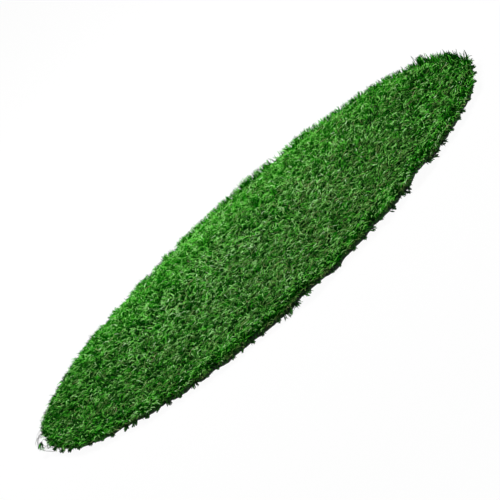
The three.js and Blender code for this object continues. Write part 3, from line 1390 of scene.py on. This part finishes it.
    def _roots(self, height: float) -> Array:
        """Scatter the roots about their tufts, all of them on the cloth.

        Args:
            height: the height of every root.

        Returns:
            The roots, one row each.
        """
        root = np.column_stack([self.x, self.y, np.full(self.count, height)])
        for axis, reach in enumerate((3.3, 2.5)):
            loose, close = self.rng.uniform(-reach, reach, self.count), self.rng.normal(0, 1.6, self.count)
            root[:, axis] += np.where(self.far_rim, loose, close) * MM
        bare = self.cut.inset(root[:, 0], root[:, 1]) + 0.3 * MM
        spill = np.maximum(bare - self.plan.gap(root[:, 0], root[:, 1]), 0)
        root[:, :2] -= self.out * spill[:, None]
        return root

    def _tones(self) -> Array:
        """Mix dark and bright blades, less so on the far side, where the tips stand upright.

        Returns:
            Each blade's tone.
        """
        rng, n = self.rng, self.count
        shade = PatchNoise(rng, self.cloud)(self.x, self.y)
        ends = (self.x / self.plan.half_length) ** 2
        spread = np.where(rng.random(n) < 0.5, rng.uniform(-0.5, -0.06, n), rng.uniform(0.0, 0.5, n))
        # Painted light: the tones are lighter towards the far side, as if it caught more of the light, and
        # darker towards the ends
        tone = 0.45 + 0.05 * self.v + 0.09 * self.far_side - 0.1 * ends * np.where(self.x > 0, 1.2, 0.6)
        tone = tone + 0.04 * shade * self.calm + rng.normal(0, 0.03, len(self.spots))[self.tuft]
        tone = tone + spread * (1 - 0.5 * self.far_side) * (1 - 0.15 * ends)
        tone = np.where(rng.random(n) < 0.04, rng.uniform(0.8, 1.0, n), tone)
        # The bundles and the lifted far rim are darker. Painted light and shade in the near wall: its blades
        # are lighter away from the belly, and most of them darker in the belly, as if shaded under the
        # overhanging pile
        tone = tone - 0.08 * self.bundled - 0.09 * self.lifted + 0.1 * self.wall * (1 - self.belly)
        tone = tone - np.where(rng.random(n) < 0.74, 0.24, -0.06) * self.wall * self.belly
        return np.clip(tone, 0, TONE_CAP)

    def grown(self, height: float, half_width: float, rib: float) -> Strands:
        """Grow the blades.

        Args:
            height: the height of the roots.
            half_width: half the width of a common blade.
            rib: the height of its middle rib.

        Returns:
            Every blade, as it grows before the pile is pressed down.
        """
        rng, n = self.rng, self.count
        growth = Growth(
            root=self._roots(height),
            length=self.length,
            root_lean=np.clip(self.base, 0, 50),
            tip_lean=np.clip(self.tip, 0, 135),
            heading=np.arctan2(self.lie[:, 1], self.lie[:, 0]),
            turn=np.where(self.wall, self.turn, rng.normal(0, 0.45, n)),
            bend=(0.5, 0.92),
            twist=rng.uniform(-1.4, 1.4, n),
            crimp=0.14,
            crimp_waves=1.1,
        )
        tone = self._tones()
        width = rng.normal(1.0, 0.14, n) * half_width * np.where(self.far_rim & ~self.bundled, 0.7, 1.0)
        return growth.strands((0.75, 1.0, 1.0, 0.95, 0.5), width, rib, tone)


@dataclass
class TurfPile:
    """The pile: tufts of blades in rows, with curled thatch yarn among them.

    Attributes:
        plan: the cut outline.
        cut: how the rim was left.
        gauge: the pitch of the rows.
        stitch: the pitch of the tufts along a row.
        drains: the middles of the drain holes, where no tuft stands.
        root_height: the height of the roots, inside the cloth.
        soft_height: the height from which the pile is pressed down.
        soft_share: the share of a strand's height above it that is left.
        over_cloth: the lowest height of a strand over the cloth.
        over_floor: the lowest height of a strand beyond the rim.
        worn_x: the middle of the stretch where the tall thatch shows most.
        worn_span: the spread of that stretch.
        wall_reach: how far in from the near rim the undergrowth is thicker.
    """

    plan: OvalPlan
    cut: EdgeCut
    gauge: float
    stitch: float
    drains: list[tuple[float, float]]
    root_height: float = 3.7 * MM
    soft_height: float = 15.4 * MM
    soft_share: float = 0.25
    over_cloth: float = 4.3 * MM
    over_floor: float = 0.9 * MM
    drain_clearance: float = 4 * MM
    worn_x: float = 100 * MM
    worn_span: float = 120 * MM
    blades_per_tuft: int = 14
    matted_share: float = 0.76
    thatch_per_tuft: float = 2.5
    undergrowth_per_tuft: int = 5
    largest_piece: int = 190_000
    rim_reach: float = 26 * MM
    rim_extra: int = 12
    rim_strands: int = 8500
    bundles_from: float = 252 * MM
    wall_reach: float = 9 * MM
    blade_half_width: float = 0.54 * MM
    blade_rib: float = 0.58 * MM

    def tufts(self, rng: np.random.Generator) -> Pair:
        """Give the tufts' places, in staggered rows, clear of the rim and the drain holes.

        Args:
            rng: the source of the small misplacings.

        Returns:
            The tufts' x and y.
        """
        last = int(self.plan.half_width / self.gauge)
        rows = np.arange(-last, last + 1) * self.gauge
        xs, ys = [], []
        for number, row in enumerate(rows):
            places = np.arange(-self.plan.half_length, self.plan.half_length, self.stitch)
            xs.append(places + (number % 2) * self.stitch / 2)
            ys.append(np.full(len(places), row))
        x, y = np.concatenate(xs), np.concatenate(ys)
        x = x + rng.normal(0, 0.8 * MM, len(x))
        y = y + rng.normal(0, 0.7 * MM, len(y))
        keep = self.plan.gap(x, y) > 1.0 * MM
        for cx, cy in self.drains:
            keep &= np.hypot(x - cx, y - cy) > self.drain_clearance
        return x[keep], y[keep]

    def rim_roots(self, rng: np.random.Generator) -> Pair:
        """Scatter the roots of single strands evenly along the rim, where whole tufts were cut through.

        Args:
            rng: the source of the scatter.

        Returns:
            The roots' x and y.
        """
        depth = rng.uniform(0.6, 11.0, self.rim_strands) * MM
        return self.cut.inside(*self.plan.at(self.plan.rim(self.rim_strands)), depth)[:2]

    def settled(self, strands: Strands, proud: Array | None = None) -> Strands:
        """Press the strands down to the pile's height, keep them off the cloth and lift them with the rim.

        Args:
            strands: the strands as grown.
            proud: marks the strands that stay as tall as they grew.

        Returns:
            The same strands, moved.
        """
        z = strands.path[..., 2]
        pressed = np.minimum(z, self.soft_height) + np.maximum(z - self.soft_height, 0) * self.soft_share
        z = pressed if proud is None else np.where(proud[:, None], z, pressed)
        inside = self.plan.gap(strands.path[:, 1:, 0], strands.path[:, 1:, 1]) > 0
        z[:, 1:] = np.maximum(z[:, 1:], np.where(inside, self.over_cloth, self.over_floor))
        strands.path[..., 2] = z + self.cut.rise(strands.path[:, :1, 0], strands.path[:, :1, 1])
        return strands

    def blades(self) -> Strands:
        """Grow the blades, some upright and more of them matted over.

        Returns:
            Every blade.
        """
        rng = np.random.default_rng(SEED + 10)
        x, y = self.tufts(rng)
        at_rim = self.plan.gap(x, y) < self.rim_reach
        each = self.blades_per_tuft + np.where(at_rim, self.rim_extra * (0.35 + 0.65 * (y > 0)), 0)
        spots = np.concatenate([np.column_stack([x, y]), np.column_stack(self.rim_roots(rng))])
        each = np.concatenate([each.astype(int), np.ones(self.rim_strands, int)])
        crop = BladeCrop(rng, self.plan, self.cut, spots, np.repeat(np.arange(len(spots)), each))
        crop.lay(self.drains)
        crop.stand(self.matted_share)
        crop.fill_wall()
        crop.raise_far_rim(self.bundles_from)
        strands = crop.grown(self.root_height, self.blade_half_width, self.blade_rib)
        return self.settled(strands, crop.proud)

    def thatch(self) -> Strands:
        """Grow the thatch, thin crimped strands: some that lie over the blades, and a low undergrowth.

        Returns:
            Every thatch strand.
        """
        rng = np.random.default_rng(SEED + 11)
        x, y = self.tufts(rng)
        gap, near = self.plan.gap(x, y), y < 0
        # The tall strands show most on the player's side and right of the middle
        worn = 0.42 - 0.4 * y / self.plan.half_width
        worn = worn + 0.3 * np.exp(-(((x - self.worn_x) / self.worn_span) ** 2))
        tall = rng.integers(0, len(x), int(len(x) * self.thatch_per_tuft))
        tall = tall[(gap[tall] > 6 * MM) & (rng.random(len(tall)) < worn[tall])]
        low = np.repeat(np.arange(len(x)), self.undergrowth_per_tuft)
        low = low[gap[low] > np.where(near[low], 2.5 * MM, 5 * MM)]
        # At the player's rim the undergrowth is thicker, lies along it and shows in the wall
        at_rim = near & (gap < self.wall_reach)
        low = np.concatenate([low, np.repeat(low[at_rim[low]], 3)])
        tuft = np.concatenate([tall, low])
        n = len(tuft)
        is_low = np.arange(n) >= len(tall)
        in_wall = is_low & at_rim[tuft]
        ox, oy = self.plan.outward(x[tuft], y[tuft])
        rim_heading = np.arctan2(oy, ox) + np.where(rng.random(n) < 0.5, 1, -1) * rng.uniform(1.0, 1.7, n)
        root = np.column_stack([x[tuft], y[tuft], np.full(n, self.root_height)])
        root[:, :2] += rng.normal(0, 1.2 * MM, (n, 2))
        root[:, :2] += is_low[:, None] * rng.uniform(-3.5, 3.5, (n, 2)) * MM
        along = np.where(rng.random(n) < 0.5, 0.0, math.pi) + rng.normal(0, 0.55, n)
        growth = Growth(
            root=root,
            length=np.where(is_low, rng.uniform(8.0, 13.0, n), rng.normal(23.5, 2.0, n)) * MM,
            root_lean=np.where(is_low, rng.uniform(20, 60, n), rng.uniform(2, 24, n)),
            tip_lean=rng.normal(104, 12, n),
            heading=np.select([in_wall, is_low], [rim_heading, rng.uniform(-math.pi, math.pi, n)], along),
            turn=rng.normal(0, 0.9, n),
            bend=(0.3, 0.8),
            twist=rng.uniform(0, 1, n),
            crimp=0.55,
            crimp_waves=2.2,
        )
        shaded, paler, mixed = rng.uniform(0.0, 0.35, n), rng.beta(2.6, 1.8, n), rng.beta(2.0, 2.2, n)
        tone = np.clip(np.select([in_wall, is_low], [paler, shaded], mixed), 0, TONE_CAP)
        half_width = np.where(is_low, rng.uniform(0.4, 0.55, n), rng.uniform(0.26, 0.4, n)) * MM
        profile = (0.9, 1.0, 1.0, 1.0, 1.0, 0.95, 0.9, 0.7)
        return self.settled(growth.strands(profile, half_width, 0.24 * MM, tone))

    def build(self) -> None:
        """Build the blades and the thatch of each band, in pieces that the exporter keeps whole."""
        for kind, strands, finish in (
            ("blades", self.blades(), BLADE_YARN.material()),
            ("thatch", self.thatch(), THATCH_YARN.material()),
        ):
            root_x, root_y = strands.path[:, 0, 0], strands.path[:, 0, 1]
            for band in Band:
                low, high = band.limits()
                low = -math.inf if band is Band.NEAR else low
                high = math.inf if band is Band.FAR else high
                rows = np.nonzero((root_y >= low) & (root_y < high))[0]
                rows = rows[np.argsort(root_x[rows], kind="stable")]
                parts = math.ceil(len(rows) * strands.triangles_each / self.largest_piece)
                for number, part in enumerate(np.array_split(rows, parts)):
                    piece = strands.chosen(part).mesh(f"{kind}_{band.label}_{number + 1}", finish)
                    piece_of(piece, Slot.YARN, band.value)


@dataclass
class EdgeYarn:
    """Yarn that the knife cut through at the rim, and one strand that has snagged at the left end.

    Attributes:
        plan: the cut outline.
        cut: how the rim was left.
        stub_count: the locks of cut yarn round the rim.
        strands_each: the strands of a lock.
        lock_half_width: half the width of a common lock.
        lock_length: how far a common lock reaches out of the rim.
        hanging: the x of the knots that hang out at the near rim.
        green_tufts: the x of the larger green tufts there.
        fringe_count: the strands of the fringe.
        fringe_height: the height of their roots.
        snag_threads: the threads of the snag's loop.
        snag_strands: the strands of the lock in it.
    """

    plan: OvalPlan
    cut: EdgeCut
    stub_count: int = 92
    strands_each: int = 15
    lock_half_width: float = 2.0 * MM
    lock_length: float = 4.4 * MM
    hanging: tuple[float, ...] = (132 * MM, 158 * MM, 201 * MM)
    green_tufts: tuple[float, ...] = (-11 * MM, 8 * MM)
    fringe_count: int = 5200
    fringe_height: float = 3.7 * MM
    snag_threads: int = 9
    snag_strands: int = 22

    def build(self) -> None:
        """Build the stubs, the knots, the fringe, the snag and the stray fibre."""
        finish = STUB_YARN.material()
        stubs, hanging = self._stubs()
        pieces = (
            ("edge_yarn_stubs", stubs, finish, Slot.YARN),
            ("edge_yarn_hanging", hanging, finish, Slot.YARN),
            ("edge_yarn_fringe", self._fringe(), finish, Slot.YARN),
            ("snagged_threads", self._snag_threads(), FLEECE_FIBRES.material(), Slot.FLEECE),
            ("snagged_tuft", self._snag_tuft(), BLADE_YARN.material(), Slot.YARN),
            ("stray_fibre", self._stray_fibre(), FLEECE_FIBRES.material(), Slot.FLEECE),
        )
        for name, strands, material, slot in pieces:
            piece_of(strands.mesh(name, material), slot)

    def _fringe(self) -> Strands:
        """Grow the short strands that the knife cut low, which hang over the rim of the cloth.

        Returns:
            The strands.
        """
        rng = np.random.default_rng(SEED + 23)
        n = self.fringe_count
        rim_x, rim_y = self.plan.at(self.plan.rim(n))
        ends = np.abs(rim_x) / self.plan.half_length
        x, y, heading = self.cut.inside(rim_x, rim_y, rng.uniform(0.2, 3.0, n) * MM)
        root = np.column_stack([x, y, self.fringe_height + self.cut.rise(x, y)])
        growth = Growth(
            root=root,
            length=rng.uniform(3.5, 7.5, n) * MM,
            root_lean=rng.uniform(20, 80, n),
            tip_lean=rng.normal(124, 22, n),
            heading=heading + rng.normal(0, 0.9, n),
            turn=rng.normal(0, 0.8, n),
            bend=(0.1, 0.9),
            twist=rng.uniform(-1.4, 1.4, n),
        )
        tone = np.clip(rng.beta(1.3, 2.2, n) * (0.6 + 1.1 * ends), 0, TONE_CAP)
        width = rng.uniform(0.35, 0.6, n) * MM
        return growth.strands((0.8, 1.0, 1.0, 0.9, 0.6), width, 0.3 * MM, tone).raised_to(0.4 * MM)

    def _stubs(self) -> list[Strands]:
        """Grow small locks of cut yarn out of the rim along the floor.

        Returns:
            The stubs with the green tufts, and the hanging knots.
        """
        rng = np.random.default_rng(SEED + 20)
        turn = self.plan.rim(self.stub_count) + rng.normal(0, 0.01, self.stub_count)
        x, y = self.plan.at(turn)
        u = x / self.plan.half_length
        size = rng.gamma(9.0, 0.11, self.stub_count) * (0.98 + 0.1 * u - 0.22 * u**2)
        rounded = self._locks(rng, x, y, size, (0.9, 1.0, 1.0, 1.0, 0.8), (0.0, 0.75))
        knot = (0.12, 0.1, 0.1, 0.5, 1.5, 1.1)
        hanging = self._locks(rng, *self._near_rim(self.hanging), 1.15, knot, (0.0, 0.3), reach=1.9)
        tuft = (0.7, 1.0, 1.0, 0.9, 0.6)
        green = self._locks(rng, *self._near_rim(self.green_tufts), 2.0, tuft, (0.6, 1.0))
        return [Strands.joined([rounded, green]), hanging]

    def _near_rim(self, places: Sequence[float]) -> Pair:
        """Give points of the near rim.

        Args:
            places: their x.

        Returns:
            Their x and y.
        """
        x = np.array(places)
        share = 1 - np.abs(x / self.plan.half_length) ** self.plan.near_power
        return x, -self.plan.half_width * share ** (1 / self.plan.near_power)

    def _locks(
        self,
        rng: np.random.Generator,
        x: Array,
        y: Array,
        size: Array | float,
        profile: Sequence[float],
        tones: tuple[float, float],
        reach: float = 1.0,
    ) -> Strands:
        """Grow one lock at each point of the rim, longest in its middle.

        Args:
            rng: the source of the draws.
            x: the points' x.
            y: the points' y.
            size: the size of each lock, 1 for a common one.
            profile: the share of a strand's full width at each point, root to tip.
            tones: the lowest and highest tone.
            reach: how much longer than common the locks are for their size.

        Returns:
            The strands of all the locks.
        """
        lock = np.repeat(np.arange(len(x)), self.strands_each)
        n = len(lock)
        size = np.broadcast_to(size, len(x))[lock]
        ox, oy = (part[lock] for part in self.plan.outward(x, y))
        across = rng.uniform(-1, 1, n)
        inset = self.cut.inset(x, y)[lock] + 1.2 * MM
        spread = across * size * self.lock_half_width
        root_x, root_y = x[lock] - inset * ox - oy * spread, y[lock] - inset * oy + ox * spread
        height = rng.uniform(1.0, 3.2, n) * MM + self.cut.rise(root_x, root_y)
        full, out = size * reach * self.lock_length, np.arctan2(oy, ox)
        growth = Growth(
            root=np.column_stack([root_x, root_y, height]),
            length=inset + full * np.sqrt(1 - 0.6 * across**2) * rng.uniform(0.85, 1.05, n),
            root_lean=rng.normal(88, 5, n),
            tip_lean=rng.normal(102, 8, n),
            heading=out + rng.normal(0, 0.15, len(x))[lock] + 0.2 * across + rng.normal(0, 0.1, n),
            turn=-0.2 * across + rng.normal(0, 0.2, n),
            bend=(0.0, 1.0),
            twist=rng.uniform(-1.4, 1.4, n),
        )
        width, tone = rng.uniform(0.45, 0.7, n) * MM, rng.uniform(*tones, n) * TONE_CAP
        return growth.strands(profile, width, 0.45 * MM, tone).raised_to(0.35 * MM)

    def _snag_threads(self) -> Strands:
        """Draw the thin threads that loop out past the left end.

        Returns:
            The threads.
        """
        rng = np.random.default_rng(SEED + 21)
        # The corners of the loop's curve, in millimetres
        corners = np.array([(-292, 22, 15), (-316, 11, 18.5), (-315, 3, 11), (-300, -8, 2)]) * MM
        u = np.linspace(0, 1, 14)[:, None]
        paths = []
        for _ in range(self.snag_threads):
            a, b, c, d = corners + rng.normal(0, 2.4 * MM, (4, 3))
            paths.append((1 - u) ** 3 * a + 3 * (1 - u) ** 2 * u * b + 3 * (1 - u) * u**2 * c + u**3 * d)
        tone = rng.uniform(0.6, 0.99, self.snag_threads)
        return Strands.even(np.array(paths), (0.0, 0.0, 1.0), 0.12 * MM, 0.15 * MM, tone).raised_to(0.5 * MM)

    def _stray_fibre(self) -> Strands:
        """Draw the one thin fibre that stands out of the far rim towards the right end.

        Returns:
            The fibre.
        """
        u = np.linspace(0, 1, 9)[:, None]
        start, end = np.array([260.0, 64.0, 12.0]) * MM, np.array([263.0, 78.0, 25.0]) * MM
        path = start + (end - start) * u + np.sin(math.pi * u) * np.array([1.5, 0.0, -1.0]) * MM
        return Strands.even(path[None], (1.0, 0.0, 0.0), 0.14 * MM, 0.14 * MM, np.array([0.9]))

    def _snag_tuft(self) -> Strands:
        """Grow the small green lock that hangs in the loop of threads.

        Returns:
            The lock's strands.
        """
        rng = np.random.default_rng(SEED + 22)
        n = self.snag_strands
        root = np.array([-307.5, 5.0, 12.0]) * MM + rng.normal(0, 1.1 * MM, (n, 3))
        growth = Growth(
            root=root,
            length=rng.uniform(5, 9, n) * MM,
            root_lean=rng.uniform(70, 130, n),
            tip_lean=rng.uniform(120, 170, n),
            heading=math.pi + rng.normal(0, 0.7, n),
            turn=rng.normal(0, 0.8, n),
            bend=(0.0, 1.0),
            twist=rng.normal(0, 0.8, n),
        )
        tone = rng.uniform(0.35, 0.7, n)
        return growth.strands((0.8, 1.0, 0.9, 0.5), np.full(n, 0.5 * MM), 0.25 * MM, tone)


@dataclass
class Studio:
    """The floor, the lights and the camera.

    Attributes:
        elevation: the camera's height over the floor, in degrees.
        roll: how far it is rolled, in degrees.
        distance: from the camera to the mat.
        target_height: the height of the point that it looks at.
        floor_size: the side of the square floor.
        world_strength: how strongly the white world lights the mat.
        sensor: the width of the camera's sensor, in millimetres.
    """

    elevation: float = 23.7
    roll: float = 42.15
    distance: float = 6.0
    target_height: float = 8.5 * MM
    floor_size: float = 12.0
    world_strength: float = 0.15
    sensor: float = 36.0

    def build(self) -> None:
        """Set up the studio."""
        self._floor()
        self._world()
        self._lamp("key", (-0.05, 0.5, 0.95), 0.12, 14.0)
        self._lamp("fill", (0.5, -1.75, 0.55), 1.2, 16.0)
        self._camera()
        bpy.context.scene.view_settings.view_transform = "Standard"
        LOG.info("studio: camera at %.1f degrees", self.elevation)

    def _floor(self) -> None:
        """Lay the paper floor."""
        half = self.floor_size / 2
        mesh = bpy.data.meshes.new("studio_floor")
        corners = [(-half, -half, 0), (half, -half, 0), (half, half, 0), (-half, half, 0)]
        mesh.from_pydata(corners, [], [(0, 1, 2, 3)])
        mesh.materials.append(StudioPaper().material())
        floor = in_scene("studio_floor", mesh)

    def _world(self) -> None:
        """Light the mat softly from all round, and show the camera plain white."""
        world = bpy.data.worlds.new("studio_world")
        bpy.context.scene.world = world
        world.use_nodes = True
        tree = world.node_tree
        dim = tree.nodes["Background"]
        feed(tree, dim, {"Color": (1, 1, 1, 1), "Strength": self.world_strength})
        white = add_node(tree, "Background", {"Color": (1, 1, 1, 1), "Strength": 1.0})
        path = add_node(tree, "LightPath").outputs
        seen = path["Is Camera Ray"]
        for other in ("Is Glossy Ray", "Is Transmission Ray"):
            seen = add_node(tree, "Math", {0: seen, 1: path[other]}, operation="MAXIMUM").outputs[0]
        mix = add_node(tree, "MixShader", {0: seen, 1: dim.outputs[0], 2: white.outputs[0]})
        feed(tree, tree.nodes["World Output"], {"Surface": mix.outputs[0]})

    @staticmethod
    def _lamp(name: str, place: tuple[float, float, float], size: float, power: float) -> None:
        """Hang one square soft light that points at the mat's middle.

        Args:
            name: the lamp's name.
            place: where it hangs.
            size: the side of the square.
            power: in watts.
        """
        light = bpy.data.lights.new(name, "AREA")
        light.energy = power
        light.size = size
        lamp = in_scene(name, light)
        lamp.location = place
        lamp.rotation_euler = (-Vector(place)).to_track_quat("-Z", "Y").to_euler()

    def _camera(self) -> None:
        """Set the camera at the photograph's angle, with its long lens and its roll."""
        elevation, roll = math.radians(self.elevation), math.radians(self.roll)
        back = Vector((0, -math.cos(elevation), math.sin(elevation)))
        level = Vector((1, 0, 0))
        upright = back.cross(level)
        right = math.cos(roll) * level - math.sin(roll) * upright
        up = math.sin(roll) * level + math.cos(roll) * upright
        data = bpy.data.cameras.new("photo_camera")
        camera = in_scene("photo_camera", data)
        place = Matrix((right, up, back)).transposed().to_4x4()
        place.translation = Vector((0, 0, self.target_height)) + back * self.distance
        camera.matrix_world = place
        data.sensor_width = self.sensor
        data.lens = PIXELS_PER_METRE * self.distance * self.sensor / IMAGE_PIXELS
        data.shift_x = (IMAGE_PIXELS / 2 - MAT_MIDDLE[0]) / IMAGE_PIXELS
        data.shift_y = (MAT_MIDDLE[1] - IMAGE_PIXELS / 2) / IMAGE_PIXELS
        bpy.context.scene.camera = camera


def main() -> None:
    """Build the mat and the studio, in order."""
    logging.basicConfig(level=logging.INFO, format="%(name)s: %(message)s")
    plan = OvalPlan.from_frame()
    cut = EdgeCut(plan)
    Studio().build()
    backing = Backing(plan, cut, gauge=9.7 * MM, stitch=6.2 * MM)
    backing.build()
    backing.declare()
    TurfPile(plan, cut, backing.gauge, backing.stitch, backing.drains()).build()
    EdgeYarn(plan, cut).build()


if __name__ == "__main__":
    main()
